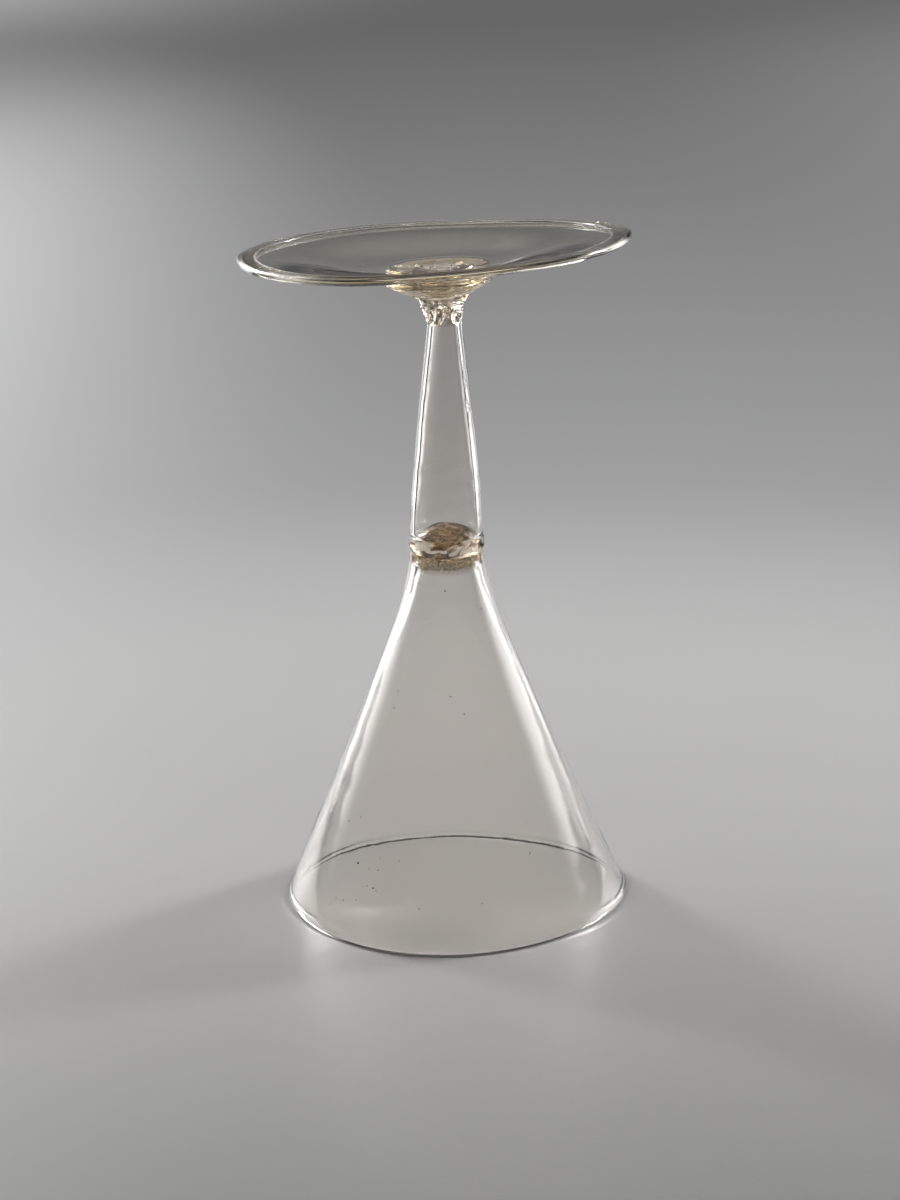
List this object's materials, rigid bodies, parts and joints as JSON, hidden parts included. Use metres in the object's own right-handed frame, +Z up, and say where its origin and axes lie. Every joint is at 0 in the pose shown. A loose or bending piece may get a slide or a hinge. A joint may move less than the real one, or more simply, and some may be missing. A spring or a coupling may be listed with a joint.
{
  "type": "stemmed drinking glass",
  "caption": "Stemmed drinking glass, stood on its rim: conical blown bowl, solid collar, hollow tapering stem, short neck and flange, shallow funnel foot with a folded edge.",
  "frame": {"origin": "on the table, under the middle of the foot, which is the middle of the whole", "axes": "+Z up through the glass as pictured, from the bowl's rim to the foot; +X to the right and -Y towards the viewer in the picture"},
  "size_m": [0.088, 0.088, 0.1562],
  "materials": {
    "clear_glass": "clear hand-blown soda glass, faintly grey, with seeds, specks and fine streaks, fire-polished",
    "thick_glass": "the same glass in solid lumps, straw to brown where it is thick, with wound rings and bubbles",
    "residue": "dry brown crust inside the closed end of the bowl"
  },
  "bodies": {
    "root": {"bowl": "clear_glass", "bowl_collar": "thick_glass", "stem": "clear_glass", "foot_neck": "thick_glass", "foot_flange": "thick_glass", "foot": "clear_glass"}
  },
  "joints": []
}
